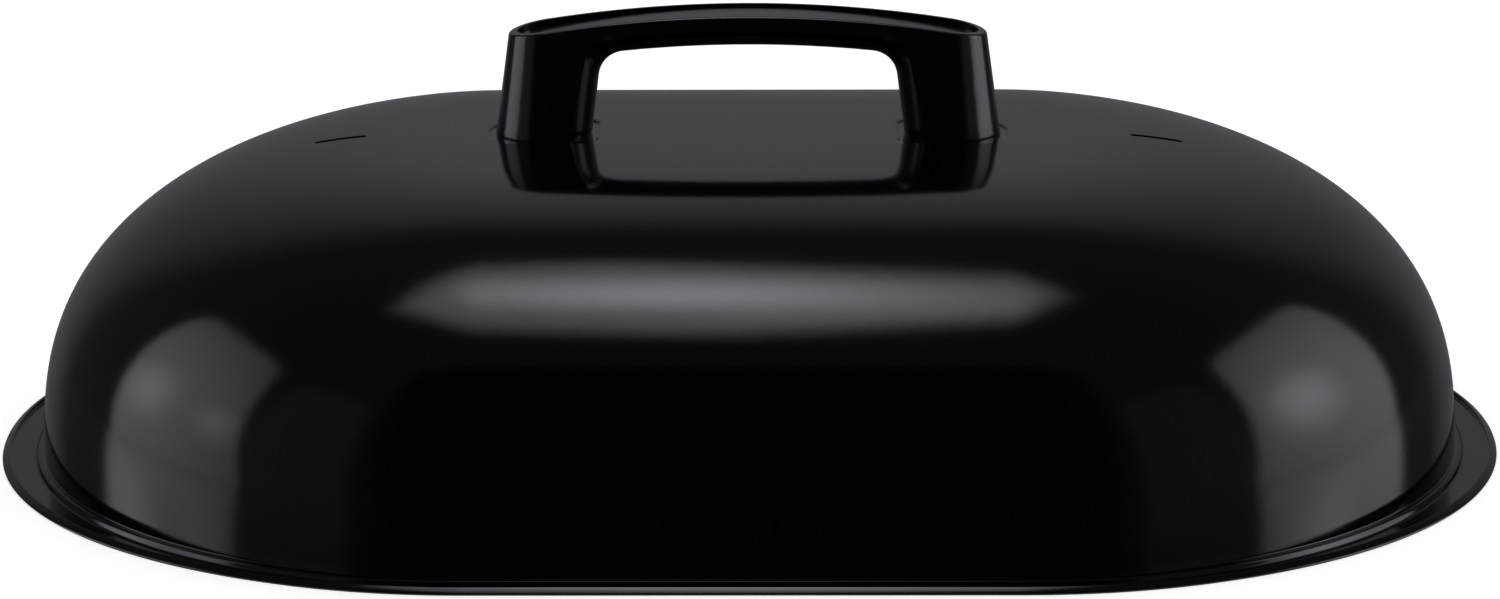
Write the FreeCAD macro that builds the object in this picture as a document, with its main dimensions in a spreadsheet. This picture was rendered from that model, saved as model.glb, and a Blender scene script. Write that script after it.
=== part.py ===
import FreeCAD, Part
import math
import os

import Sketcher

# Domed cover of a countertop roaster oven: a drawn and enamelled steel shell with a
# rolled rim, and a moulded handle held by two screws from inside.
# X runs along the cover, -Y is its front, +Z is up, and the rim stands on Z = 0.
# All sizes are millimetres.

SIZES = {
    # plan outline at the rim: two straight sides joined by oval ends
    "lid_length": 530.0,
    "lid_width": 388.0,
    # rolled rim, flange and the step that centres the cover on its pan
    "sheet": 0.9,
    "roll_diameter": 4.4,
    "roll_gap": 0.5,
    "flange_width": 12.4,
    "step_run": 1.0,
    "step_rise": 2.1,
    "ledge_width": 1.6,
    # dome: a near upright wall, a wide shoulder and a crowned top
    "shoulder_run": 127.0,
    "shoulder_rise": 98.4,
    "shoulder_power": 2.08,
    "wall_power": 2.79,
    "crown_rise": 11.5,
    "crown_tip": 4.0,
    # steam vents
    "vent_length": 18.4,
    "vent_width": 3.0,
    "vent_from_end": 121.2,
    # pressed seats under the handle's legs
    "seat_depth": 0.8,
    "seat_margin": 2.8,
    # handle
    "handle_length": 177.6,
    "handle_depth": 32.0,
    "handle_rise": 44.4,
    "end_taper": 5.9,
    "side_taper": 3.7,
    "arch_radius": 450.0,
    "leg_width": 33.4,
    "bridge_thickness": 12.3,
    "opening_slope": 7.0,
    "opening_corner": 9.5,
    "grip_side": 7.4,
    "grip_top": 12.0,
    "recess_depth": 1.0,
    "recess_border": 1.9,
    "recess_radius": 380.0,
    "rim_round": 1.1,
    "leg_wall": 3.0,
    "core_depth": 24.0,
    "boss_diameter": 14.0,
    "rib_thickness": 2.4,
    # fasteners
    "screw_from_end": 16.8,
    "insert_diameter": 8.0,
    "insert_length": 14.0,
    "insert_groove": 0.6,
    "screw_diameter": 4.8,
    "screw_length": 12.0,
    "thread_clearance": 0.05,
    "screw_hole_clearance": 0.4,
    "screw_head_diameter": 9.4,
    "screw_head_height": 3.2,
    "screw_slot": 1.2,
    "washer_diameter": 14.0,
    "washer_thickness": 1.0,
}

# shape of the oval ends: how far they stand out, as a share of the half width, and
# their corner radius as a share of that
END_REACH_SHARE = 0.9124
CORNER_SHARE = 0.8305
# sections of the lofts, and edges of the plan outline
SHOULDER_RINGS = 8
CROWN_RINGS = 3
GRIP_SECTIONS = 5
OVAL_EDGES = 8
# the grip's outer sections stand this share of the half depth out, past the faces
GRIP_REACH = 1.1
# how far a cut runs on past what it cuts
OVERCUT = 3.0
# rounds as shares of the wall that they lie in
STEP_ROUND_SHARE = 0.9
WALL_ROOT_SHARE = 0.8
# insert: where its groove starts and ends, as shares of its length
GROOVE_START = 0.35
GROOVE_END = 0.65
# screw: head and tip proportions
HEAD_EDGE_SHARE = 0.4
HEAD_FLAT_SHARE = 0.55
SLOT_DEPTH_SHARE = 0.45
TIP_CHAMFER_SHARE = 0.3
# an edge belongs to an outline if this many points along it lie on it, within the slack
EDGE_SAMPLES = 5
SLACK = 0.02
UP = FreeCAD.Vector(0, 0, 1)

doc = FreeCAD.newDocument("roaster_cover")


class Size:
    """A length or number, with the spreadsheet expression that it comes from."""

    def __init__(self, text, value):
        self.text = text
        self.value = value

    def join(self, sign, other, value):
        other_text = other.text if isinstance(other, Size) else repr(float(other))
        return Size("(%s %s %s)" % (self.text, sign, other_text), value)

    def __add__(self, other):
        return self.join("+", other, self.value + number(other))

    def __sub__(self, other):
        return self.join("-", other, self.value - number(other))

    def __mul__(self, other):
        return self.join("*", other, self.value * number(other))

    def __truediv__(self, other):
        return self.join("/", other, self.value / number(other))

    def __pow__(self, other):
        return self.join("^", other, self.value ** number(other))

    def __neg__(self):
        return fixed(0) - self


def number(value):
    """The plain number in a Size or in a number."""
    return value.value if isinstance(value, Size) else float(value)


def fixed(value):
    """A Size that no cell drives."""
    return Size(repr(float(value)), float(value))


def make_sheet():
    """Write the driving sizes into the spreadsheet and return them by name."""
    sheet = doc.addObject("Spreadsheet::Sheet", "Sizes")
    for row, (name, value) in enumerate(SIZES.items(), start=1):
        sheet.set("A%d" % row, name)
        sheet.set("B%d" % row, str(value))
        sheet.setAlias("B%d" % row, name)
    doc.recompute()
    return {name: Size("Sizes." + name, value) for name, value in SIZES.items()}


size = make_sheet()


# ---------------------------------------------------------------- shared values

roll_radius = size["roll_diameter"] / 2
ledge_top = size["sheet"] + size["step_rise"]
step_foot = size["flange_width"]
step_head = step_foot + size["step_run"]
wall_inset = step_head + size["ledge_width"]
dome_top = ledge_top + size["shoulder_rise"] + size["crown_rise"]
end_reach = size["lid_width"] / 2 * END_REACH_SHARE
side_straight = size["lid_length"] / 2 - end_reach
wall_half_width = size["lid_width"] / 2 - wall_inset
wall_end_reach = end_reach - wall_inset
seat_top = dome_top - size["seat_depth"]
seat_underside = seat_top - size["sheet"]
handle_top = seat_top + size["handle_rise"]
screw_station = size["handle_length"] / 2 - size["screw_from_end"]
vent_station = size["lid_length"] / 2 - size["vent_from_end"]
leg_inside = size["handle_length"] / 2 - size["leg_width"]
bore_diameter = size["screw_diameter"] + size["thread_clearance"] * 2
hole_diameter = size["screw_diameter"] + size["screw_hole_clearance"] * 2


# ---------------------------------------------------------------- drawing helpers

def make_body(name):
    body = doc.addObject("PartDesign::Body", name)
    body.Label = name
    return body


def make_sketch(body, name, role="XY_Plane", offset=None):
    """A sketch on one of the body's own planes, moved out along the plane's normal."""
    sketch = body.newObject("Sketcher::SketchObject", name)
    base = [plane for plane in body.Origin.OriginFeatures if plane.Role == role][0]
    sketch.AttachmentSupport = [(base, "")]
    sketch.MapMode = "FlatFace"
    if offset is not None:
        sketch.AttachmentOffset = FreeCAD.Placement(UP * offset.value, FreeCAD.Rotation())
        sketch.setExpression("AttachmentOffset.Base.z", offset.text)
    return sketch


def point(x, y):
    return FreeCAD.Vector(number(x), number(y), 0)


def line(start, end):
    return Part.LineSegment(start, end)


def arc(centre, radius, start, end):
    circle = Part.Circle(centre, UP, number(radius))
    return Part.ArcOfCircle(circle, start, end)


def rule(sketch, kind, *where):
    """Add a geometric constraint."""
    return sketch.addConstraint(Sketcher.Constraint(kind, *where))


def dimension(sketch, kind, *where):
    """Add a dimension; the last argument is its Size."""
    places, length = where[:-1], where[-1]
    index = sketch.addConstraint(Sketcher.Constraint(kind, *places, length.value))
    sketch.setExpression("Constraints[%d]" % index, length.text)
    return index


def chain(sketch, kind, count):
    """Join the end of each edge to the start of the next one, round a closed outline."""
    for edge in range(count):
        rule(sketch, kind, edge, 2, (edge + 1) % count, 1)


def oval_end(straight, reach, half_width, corner):
    """An oval's end arc: its radius, where its centre is, and where the corner arc meets it."""
    radius = (reach ** 2 + half_width ** 2 - 2 * half_width * corner) / (2 * (reach - corner))
    centre_x = straight + reach - radius
    return radius, centre_x, math.atan2(half_width - corner, radius - reach)


def draw_oval(sketch, straight, reach, half_width, corner):
    """Straight sides of half length straight, then corner and end arcs, all tangent.

    reach is how far an end stands out beyond the straight sides.
    """
    s, p, b, r = [value.value for value in (straight, reach, half_width, corner)]
    end_radius, end_x, turn = oval_end(s, p, b, r)
    half = math.pi / 2
    sketch.addGeometry([
        line(point(s, b), point(-s, b)),
        arc(point(-s, b - r), r, half, math.pi - turn),
        arc(point(-end_x, 0), end_radius, math.pi - turn, math.pi + turn),
        arc(point(-s, r - b), r, math.pi + turn, 3 * half),
        line(point(-s, -b), point(s, -b)),
        arc(point(s, r - b), r, 3 * half, 4 * half - turn),
        arc(point(end_x, 0), end_radius, -turn, turn),
        arc(point(s, b - r), r, turn, half),
    ], False)
    chain(sketch, "Tangent", OVAL_EDGES)
    rule(sketch, "Symmetric", 0, 1, 0, 2, -2)
    rule(sketch, "Symmetric", 4, 1, 4, 2, -2)
    rule(sketch, "Symmetric", 0, 1, 4, 2, -1)
    rule(sketch, "PointOnObject", 2, 3, -1)
    rule(sketch, "PointOnObject", 6, 3, -1)
    rule(sketch, "Equal", 1, 7)
    rule(sketch, "Equal", 2, 6)
    tip = sketch.addGeometry(Part.Point(point(s + p, 0)), True)
    rule(sketch, "PointOnObject", tip, 1, -1)
    rule(sketch, "PointOnObject", tip, 1, 6)
    dimension(sketch, "DistanceX", -1, 1, 0, 1, straight)
    dimension(sketch, "DistanceY", -1, 1, 0, 1, half_width)
    dimension(sketch, "Radius", 7, corner)
    dimension(sketch, "DistanceX", -1, 1, tip, 1, straight + reach)


def outline_sizes(inset):
    """Straight, reach, half width and corner of the cover's outline, in from the rim by inset."""
    reach = end_reach - inset
    return fixed(1) * side_straight, reach, size["lid_width"] / 2 - inset, reach * CORNER_SHARE


def outline_sketch(body, name, inset, level):
    """The cover's plan outline, moved in from the rim by inset, at height level."""
    sketch = make_sketch(body, name, offset=level)
    draw_oval(sketch, *outline_sizes(inset))
    return sketch


def on_outline(inset, level):
    """A test for points on the cover's outline at an inset and height."""
    straight, reach, half_width, corner = [value.value for value in outline_sizes(inset)]
    end_radius, end_x, meet = oval_end(straight, reach, half_width, corner)

    def test(sample):
        x, y = abs(sample.x), abs(sample.y)
        from_corner = (x - straight, y - half_width + corner)
        if x <= straight:
            distance = y - half_width
        elif math.atan2(from_corner[1], from_corner[0]) > meet:
            distance = math.hypot(*from_corner) - corner
        else:
            distance = math.hypot(x - end_x, y) - end_radius
        return near(distance, 0) and near(sample.z, level)
    return test


def draw_slot(sketch, centre_x, half_length, half_width):
    """A slot with round ends, along X."""
    c, l, w = number(centre_x), number(half_length), number(half_width)
    half = math.pi / 2
    sketch.addGeometry([
        line(point(c + l - w, w), point(c - l + w, w)),
        arc(point(c - l + w, 0), w, half, 3 * half),
        line(point(c - l + w, -w), point(c + l - w, -w)),
        arc(point(c + l - w, 0), w, -half, half),
    ], False)
    chain(sketch, "Tangent", 4)
    rule(sketch, "Equal", 1, 3)
    rule(sketch, "PointOnObject", 1, 3, -1)
    rule(sketch, "PointOnObject", 3, 3, -1)
    dimension(sketch, "Radius", 1, fixed(1) * half_width)
    dimension(sketch, "DistanceX", -1, 1, 1, 3, centre_x - half_length + half_width)
    dimension(sketch, "DistanceX", -1, 1, 3, 3, centre_x + half_length - half_width)


def draw_rounded_end(sketch, side, inner, outer, half_width):
    """D shape on one side of the middle: straight at x = inner, a half circle to x = outer."""
    x0, x1, w = inner.value, outer.value, half_width.value
    half = math.pi / 2
    turn = 0 if side > 0 else math.pi
    middle = (x1 - w) * side
    edges = [line(point(x0 * side, w * side), point(x0 * side, -w * side)),
             line(point(x0 * side, -w * side), point(middle, -w * side)),
             arc(point(middle, 0), w, turn - half, turn + half),
             line(point(middle, w * side), point(x0 * side, w * side))]
    sketch.addGeometry(edges, False)
    rule(sketch, "Coincident", 0, 2, 1, 1)
    rule(sketch, "Tangent", 1, 2, 2, 1)
    rule(sketch, "Tangent", 2, 2, 3, 1)
    rule(sketch, "Coincident", 3, 2, 0, 1)
    rule(sketch, "Vertical", 0)
    rule(sketch, "Horizontal", 1)
    rule(sketch, "PointOnObject", 2, 3, -1)
    dimension(sketch, "Radius", 2, fixed(1) * half_width)
    dimension(sketch, "DistanceX", -1, 1, 0, 1, inner * side)
    dimension(sketch, "DistanceX", -1, 1, 2, 3, (outer - half_width) * side)


def draw_circle(sketch, centre_x, diameter):
    """A circle with its centre on the sketch's X axis."""
    index = sketch.addGeometry(Part.Circle(point(centre_x, 0), UP, diameter.value / 2), False)
    rule(sketch, "PointOnObject", index, 3, -1)
    dimension(sketch, "DistanceX", -1, 1, index, 3, centre_x)
    dimension(sketch, "Diameter", index, diameter)


def draw_polygon(sketch, corners):
    """A closed outline of straight edges through corners, given as pairs of Size."""
    count = len(corners)
    start = sketch.GeometryCount
    for index in range(count):
        sketch.addGeometry(line(point(*corners[index]), point(*corners[(index + 1) % count])), False)
    for index in range(count):
        rule(sketch, "Coincident", start + index, 2, start + (index + 1) % count, 1)
    for index, (x, y) in enumerate(corners):
        dimension(sketch, "DistanceX", -1, 1, start + index, 1, x)
        dimension(sketch, "DistanceY", -1, 1, start + index, 1, y)


def loft(body, name, sketches, cut=False, ruled=False):
    kind = "PartDesign::SubtractiveLoft" if cut else "PartDesign::AdditiveLoft"
    feature = body.newObject(kind, name)
    feature.Profile = sketches[0]
    feature.Sections = sketches[1:]
    feature.Ruled = ruled
    return feature


def extrude(body, name, sketch, length=None, cut=False, reversed_side=False, midplane=False):
    """A Pad, or a Pocket when cut; with no length it goes through everything."""
    feature = body.newObject("PartDesign::Pocket" if cut else "PartDesign::Pad", name)
    feature.Profile = sketch
    if length is None:
        feature.Type = "ThroughAll"
    else:
        feature.Length = length.value
        feature.setExpression("Length", length.text)
    feature.Reversed = reversed_side
    feature.Midplane = midplane
    return feature


def edges_where(shape, test):
    """Names of the edges whose every sampled point passes the test."""
    names = []
    for index, edge in enumerate(shape.Edges, start=1):
        samples = edge.discretize(EDGE_SAMPLES)
        if all(test(sample) for sample in samples):
            names.append("Edge%d" % index)
    return names


def fillet(body, name, radius, test):
    """Round the edges of the body's last feature that pass the test."""
    doc.recompute()
    base = body.Tip
    names = edges_where(base.Shape, test)
    feature = body.newObject("PartDesign::Fillet", name)
    feature.Base = (base, names)
    feature.Radius = radius.value
    feature.setExpression("Radius", radius.text)
    return feature


def near(value, wanted):
    return abs(value - number(wanted)) < SLACK


# ---------------------------------------------------------------- cover shell

def shoulder_ring(index, skin):
    """Inset from the wall and height of one ring of the dome, skin deep in the sheet."""
    angle = 90.0 * index / SHOULDER_RINGS
    cosine = Size("cos(%r deg)" % angle, math.cos(math.radians(angle)))
    sine = Size("sin(%r deg)" % angle, math.sin(math.radians(angle)))
    if index == SHOULDER_RINGS:
        cosine = fixed(0)
    run = size["shoulder_run"] - skin
    rise = size["shoulder_rise"] - skin
    bend = fixed(1) - cosine ** (fixed(2) / size["shoulder_power"])
    lift = sine ** (fixed(2) / size["wall_power"])
    inset = skin + run * bend
    return inset, ledge_top + rise * lift + crown_lift(inset)


def crown_ring(index, skin):
    """Rings of the slightly crowned top, inside the shoulder."""
    flat_run = wall_end_reach - size["crown_tip"] - size["shoulder_run"]
    inset = size["shoulder_run"] + flat_run * (index / CROWN_RINGS)
    height = ledge_top + size["shoulder_rise"] - skin + crown_lift(inset)
    return inset, height


def crown_lift(inset):
    """How far the crown has risen at an inset from the wall."""
    left = fixed(1) - inset / wall_half_width
    return size["crown_rise"] * (fixed(1) - left ** 2)


def dome_sketches(body, name, skin):
    rings = [shoulder_ring(index, skin) for index in range(SHOULDER_RINGS + 1)]
    rings += [crown_ring(index, skin) for index in range(1, CROWN_RINGS + 1)]
    return [outline_sketch(body, "%s_ring_%d" % (name, index), wall_inset + inset, height)
            for index, (inset, height) in enumerate(rings)]


def draw_rolled_rim(sketch):
    """Section of the roll: the sheet turns up and over until it nearly meets the flange."""
    outer = roll_radius
    inner = roll_radius - size["sheet"]
    centre_x = size["lid_width"] / 2 - outer
    half = math.pi / 2
    closing = math.asin((size["sheet"].value + size["roll_gap"].value - outer.value) / outer.value)
    stop = math.pi - closing
    middle = point(centre_x, outer)
    tail = [middle + FreeCAD.Vector(math.cos(stop), math.sin(stop), 0) * number(radius)
            for radius in (outer, inner)]
    sketch.addGeometry([
        arc(middle, outer, -half, stop),
        line(tail[0], tail[1]),
        arc(middle, inner, -half, stop),
        line(point(centre_x, size["sheet"]), point(centre_x, 0)),
    ], False)
    rule(sketch, "Coincident", 0, 2, 1, 1)
    rule(sketch, "Coincident", 1, 2, 2, 2)
    rule(sketch, "Coincident", 2, 1, 3, 1)
    rule(sketch, "Coincident", 3, 2, 0, 1)
    rule(sketch, "Coincident", 0, 3, 2, 3)
    rule(sketch, "Vertical", 3)
    rule(sketch, "PointOnObject", 0, 3, 3)
    rule(sketch, "PointOnObject", 2, 3, 1)
    dimension(sketch, "Radius", 0, fixed(1) * outer)
    dimension(sketch, "Radius", 2, inner)
    dimension(sketch, "DistanceX", -1, 1, 0, 3, centre_x)
    dimension(sketch, "DistanceY", -1, 1, 0, 3, fixed(1) * outer)
    dimension(sketch, "DistanceY", -1, 1, 0, 2, size["sheet"] + size["roll_gap"])


def draw_seat(sketch, side, margin):
    """Plan of a seat: the leg's rounded outer end and straight inner end, plus margin."""
    draw_rounded_end(sketch, side, leg_inside - margin, size["handle_length"] / 2 + margin,
                     size["handle_depth"] / 2 + margin)


def make_cover_shell():
    body = make_body("cover_shell")
    flat = fixed(0)

    # outside: flange, step and dome
    flange = outline_sketch(body, "flange_outline", roll_radius, flat)
    extrude(body, "flange_pad", flange, size["sheet"])
    step_sections = [outline_sketch(body, "step_foot", step_foot, fixed(1) * size["sheet"]),
                     outline_sketch(body, "step_head", step_head, ledge_top)]
    loft(body, "step", step_sections, ruled=True)
    loft(body, "dome", dome_sketches(body, "dome", flat))
    fillet(body, "step_round", size["step_run"] * STEP_ROUND_SHARE, on_outline(step_head, ledge_top))
    fillet(body, "wall_root", size["ledge_width"] * WALL_ROOT_SHARE, on_outline(wall_inset, ledge_top))

    # inside, one sheet thickness in
    skin = size["sheet"]
    loft(body, "dome_inside", dome_sketches(body, "inside", skin), cut=True)
    throat_inset, throat_top = shoulder_ring(0, skin)
    throat = outline_sketch(body, "throat_outline", wall_inset + throat_inset, throat_top)
    extrude(body, "throat", throat, throat_top + OVERCUT, cut=True)
    rebate_sections = [outline_sketch(body, "rebate_foot", step_foot + skin, flat),
                       outline_sketch(body, "rebate_head", step_head + skin, ledge_top - skin)]
    loft(body, "rebate", rebate_sections, cut=True, ruled=True)

    # seats pressed into the top, one sheet thickness deep all over
    for side, place in ((-1, "left"), (1, "right")):
        seat = make_sketch(body, "seat_sheet_" + place, offset=seat_underside)
        draw_seat(seat, side, size["seat_margin"] + skin)
        extrude(body, "seat_pad_" + place, seat, fixed(1) * skin)
        press = make_sketch(body, "seat_outline_" + place, offset=seat_top)
        draw_seat(press, side, size["seat_margin"])
        extrude(body, "seat_" + place, press, size["seat_depth"] + OVERCUT, cut=True,
                reversed_side=True)

    # screw holes and steam vents
    for side, place in ((-1, "left"), (1, "right")):
        hole = make_sketch(body, "screw_hole_outline_" + place, offset=dome_top + OVERCUT)
        draw_circle(hole, screw_station * side, hole_diameter)
        extrude(body, "screw_hole_" + place, hole, cut=True)
        vent = make_sketch(body, "vent_outline_" + place, offset=dome_top + OVERCUT)
        draw_slot(vent, vent_station * side, size["vent_length"] / 2, size["vent_width"] / 2)
        extrude(body, "vent_" + place, vent, cut=True)

    # rolled rim, swept round the flange
    spine = outline_sketch(body, "rim_path", fixed(1) * roll_radius, flat)
    section = make_sketch(body, "rim_section", role="YZ_Plane", offset=fixed(1) * side_straight)
    draw_rolled_rim(section)
    roll = body.newObject("PartDesign::AdditivePipe", "rolled_rim")
    roll.Profile = section
    roll.Spine = (spine, ["Edge%d" % edge for edge in range(1, OVAL_EDGES + 1)])
    roll.Mode = "Frenet"
    return body


# ---------------------------------------------------------------- handle

def draw_arch_waste(sketch, radius, crest, half_length, level):
    """All between an arc of the given radius, its crest at crest, and a level line."""
    r, z, x, t = radius.value, crest.value, half_length.value, level.value
    end = math.acos(x / r)
    end_z = z - r + r * math.sin(end)
    sketch.addGeometry([
        arc(point(0, z - r), r, end, math.pi - end),
        line(point(-x, end_z), point(-x, t)),
        line(point(-x, t), point(x, t)),
        line(point(x, t), point(x, end_z)),
    ], False)
    chain(sketch, "Coincident", 4)
    rule(sketch, "Vertical", 1)
    rule(sketch, "Vertical", 3)
    rule(sketch, "PointOnObject", 0, 3, -2)
    rule(sketch, "Symmetric", 2, 1, 2, 2, -2)
    dimension(sketch, "Radius", 0, fixed(1) * radius)
    dimension(sketch, "DistanceY", -1, 1, 0, 3, crest - radius)
    dimension(sketch, "DistanceX", -1, 1, 2, 2, half_length)
    dimension(sketch, "DistanceY", -1, 1, 2, 2, level)


def draw_finger_opening(sketch, side_widening, top_widening):
    """Arched opening under the bridge, larger at its sides and top by the widenings."""
    slope = math.radians(size["opening_slope"].value)
    foot_x = leg_inside + side_widening
    foot_z = seat_top - OVERCUT
    arch_radius = size["arch_radius"] - size["bridge_thickness"] + top_widening
    arch_centre = handle_top - size["arch_radius"]
    corner = fixed(1) * size["opening_corner"]
    r, big = corner.value, arch_radius.value
    # the corner's centre lies a radius in from the sloping side and from the arch
    side = FreeCAD.Vector(-math.sin(slope), math.cos(slope), 0)
    inward = FreeCAD.Vector(-math.cos(slope), -math.sin(slope), 0)
    start = point(foot_x, foot_z) + inward * r - point(0, arch_centre)
    along = start.dot(side)
    travel = -along + math.sqrt(along ** 2 - start.dot(start) + (big - r) ** 2)
    centre = point(foot_x, foot_z) + inward * r + side * travel
    meet = math.atan2(centre.y - arch_centre.value, centre.x)
    side_end = centre - inward * r
    sketch.addGeometry([
        line(point(foot_x, foot_z), side_end),
        arc(centre, r, slope, meet),
        arc(point(0, arch_centre), big, meet, math.pi - meet),
        arc(point(-centre.x, centre.y), r, math.pi - meet, math.pi - slope),
        line(point(-side_end.x, side_end.y), point(-foot_x.value, foot_z)),
        line(point(-foot_x.value, foot_z), point(foot_x, foot_z)),
    ], False)
    for edge in range(4):
        rule(sketch, "Tangent", edge, 2, edge + 1, 1)
    rule(sketch, "Coincident", 4, 2, 5, 1)
    rule(sketch, "Coincident", 5, 2, 0, 1)
    rule(sketch, "Symmetric", 5, 1, 5, 2, -2)
    rule(sketch, "PointOnObject", 2, 3, -2)
    rule(sketch, "Equal", 1, 3)
    dimension(sketch, "DistanceX", -1, 1, 0, 1, foot_x)
    dimension(sketch, "DistanceY", -1, 1, 0, 1, foot_z)
    dimension(sketch, "Radius", 1, corner)
    dimension(sketch, "Radius", 2, arch_radius)
    dimension(sketch, "DistanceY", -1, 1, 2, 3, arch_centre)
    lean = sketch.addConstraint(Sketcher.Constraint("Angle", 0, math.pi / 2 + slope))
    sketch.setExpression("Constraints[%d]" % lean, "90 deg + Sizes.opening_slope * 1 deg")


def make_recess_core(half_length, half_width):
    """The core that leaves the recess: round ends in plan, arched underneath."""
    core = make_body("recess_core")
    # twice the arch's rise, so that the core reaches below its ends
    drop = size["recess_depth"] + half_length ** 2 / size["recess_radius"]
    plan = make_sketch(core, "recess_plan", offset=handle_top + OVERCUT)
    draw_slot(plan, fixed(0), half_length, half_width)
    extrude(core, "recess_block", plan, drop + OVERCUT, reversed_side=True)
    under = make_sketch(core, "recess_floor", role="XZ_Plane")
    draw_arch_waste(under, size["recess_radius"], handle_top - size["recess_depth"],
                    half_length + OVERCUT, handle_top - drop - OVERCUT)
    extrude(core, "recess_underside", under, half_width * 2 + OVERCUT, cut=True, midplane=True)
    return core


def make_handle():
    body = make_body("handle")
    foot_half = size["handle_length"] / 2
    foot_deep = size["handle_depth"] / 2
    head_half = foot_half - size["end_taper"]
    head_deep = foot_deep - size["side_taper"]

    # tapered block with round ends, under an arched top
    foot = make_sketch(body, "foot_outline", offset=seat_top)
    draw_slot(foot, fixed(0), foot_half, foot_deep)
    head = make_sketch(body, "head_outline", offset=handle_top)
    draw_slot(head, fixed(0), head_half, head_deep)
    loft(body, "block", [foot, head], ruled=True)
    arch = make_sketch(body, "arch_outline", role="XZ_Plane")
    draw_arch_waste(arch, size["arch_radius"], handle_top, foot_half + OVERCUT,
                    handle_top + OVERCUT)
    extrude(body, "arch", arch, size["handle_depth"] + OVERCUT * 2, cut=True, midplane=True)

    # finger opening, rounded towards both faces for the grip
    sections = []
    for index in range(GRIP_SECTIONS):
        share = GRIP_REACH * (2.0 * index / (GRIP_SECTIONS - 1) - 1)
        section = make_sketch(body, "grip_section_%d" % index, role="XZ_Plane",
                              offset=foot_deep * share)
        draw_finger_opening(section, size["grip_side"] * share ** 2, size["grip_top"] * share ** 2)
        sections.append(section)
    loft(body, "finger_opening", sections, cut=True)

    # shallow recess along the top, deeper at its ends
    recess_half_length = head_half - size["recess_border"]
    recess_half_width = head_deep - size["recess_border"]
    recess = body.newObject("PartDesign::Boolean", "recess")
    recess.Type = "Cut"
    recess.setObjects([make_recess_core(recess_half_length, recess_half_width)])

    def outer_rim(sample):
        arch_centre = handle_top - size["arch_radius"]
        on_arch = near(math.hypot(sample.x, sample.z - arch_centre.value), size["arch_radius"])
        past_end = max(abs(sample.x) - (recess_half_length - recess_half_width).value, 0)
        outside = math.hypot(past_end, sample.y) > (head_deep - size["recess_border"] / 2).value
        return on_arch and outside

    fillet(body, "outer_rim_round", size["rim_round"], outer_rim)

    # cored legs, each with a boss and a rib
    for side, place in ((-1, "left"), (1, "right")):
        add_leg_core(body, side, place)
    return body


def add_leg_core(body, side, place):
    """Hollow a leg from below, leaving a boss round the insert and a rib across it."""
    wall = size["leg_wall"]
    depth = size["core_depth"]
    climbed = depth / size["handle_rise"]
    inner = leg_inside + wall
    outer = size["handle_length"] / 2 - size["end_taper"] * climbed - wall
    half_width = size["handle_depth"] / 2 - size["side_taper"] * climbed - wall
    outline = make_sketch(body, "core_outline_" + place, offset=seat_top)
    draw_rounded_end(outline, side, inner, outer, half_width)
    draw_circle(outline, screw_station * side, size["boss_diameter"])
    extrude(body, "core_" + place, outline, depth, cut=True, reversed_side=True)

    rib = make_sketch(body, "rib_outline_" + place, offset=seat_top + size["sheet"])
    half_rib = size["rib_thickness"] / 2
    rib_start = (inner - wall / 2) * side
    rib_end = (outer + wall / 2) * side
    draw_polygon(rib, [(rib_start, half_rib), (rib_start, -half_rib),
                       (rib_end, -half_rib), (rib_end, half_rib)])
    extrude(body, "rib_" + place, rib, depth - size["sheet"])

    socket = make_sketch(body, "insert_socket_section_" + place, role="XZ_Plane")
    draw_insert_section(socket, fixed(0), screw_station * side)
    groove = body.newObject("PartDesign::Groove", "insert_socket_" + place)
    groove.Profile = socket
    groove.ReferenceAxis = (socket, ["Axis0"])
    groove.Angle = 360


# ---------------------------------------------------------------- fasteners

def draw_insert_section(sketch, bore, centre_x):
    """Half section of an insert with a shallow groove round its middle."""
    radius = size["insert_diameter"] / 2
    waist = radius - size["insert_groove"]
    length = size["insert_length"]
    levels = [seat_top + length * share for share in (0, GROOVE_START, GROOVE_END, 1)]
    corners = [(bore, levels[0]), (radius, levels[0]), (radius, levels[1]), (waist, levels[1]),
               (waist, levels[2]), (radius, levels[2]), (radius, levels[3]), (bore, levels[3])]
    draw_polygon(sketch, [(centre_x + x, z) for x, z in corners])
    axis = sketch.addGeometry(line(point(centre_x, seat_top), point(centre_x, levels[3])), True)
    dimension(sketch, "DistanceX", -1, 1, axis, 1, fixed(1) * centre_x)
    dimension(sketch, "DistanceX", -1, 1, axis, 2, fixed(1) * centre_x)
    dimension(sketch, "DistanceY", -1, 1, axis, 1, fixed(1) * seat_top)
    dimension(sketch, "DistanceY", -1, 1, axis, 2, levels[3])


def turn(body, name, sketch):
    feature = body.newObject("PartDesign::Revolution", name)
    feature.Profile = sketch
    feature.ReferenceAxis = (sketch, ["Axis0"])
    feature.Angle = 360
    return feature


def make_insert(side, place):
    body = make_body("insert_" + place)
    section = make_sketch(body, "section", role="XZ_Plane")
    draw_insert_section(section, bore_diameter / 2, screw_station * side)
    turn(body, "turned", section)
    return body


def make_washer(side, place):
    body = make_body("washer_" + place)
    ring = make_sketch(body, "ring", offset=seat_underside - size["washer_thickness"])
    centre = screw_station * side
    draw_circle(ring, centre, size["washer_diameter"])
    draw_circle(ring, centre, hole_diameter)
    extrude(body, "plate", ring, fixed(1) * size["washer_thickness"])
    return body


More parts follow.
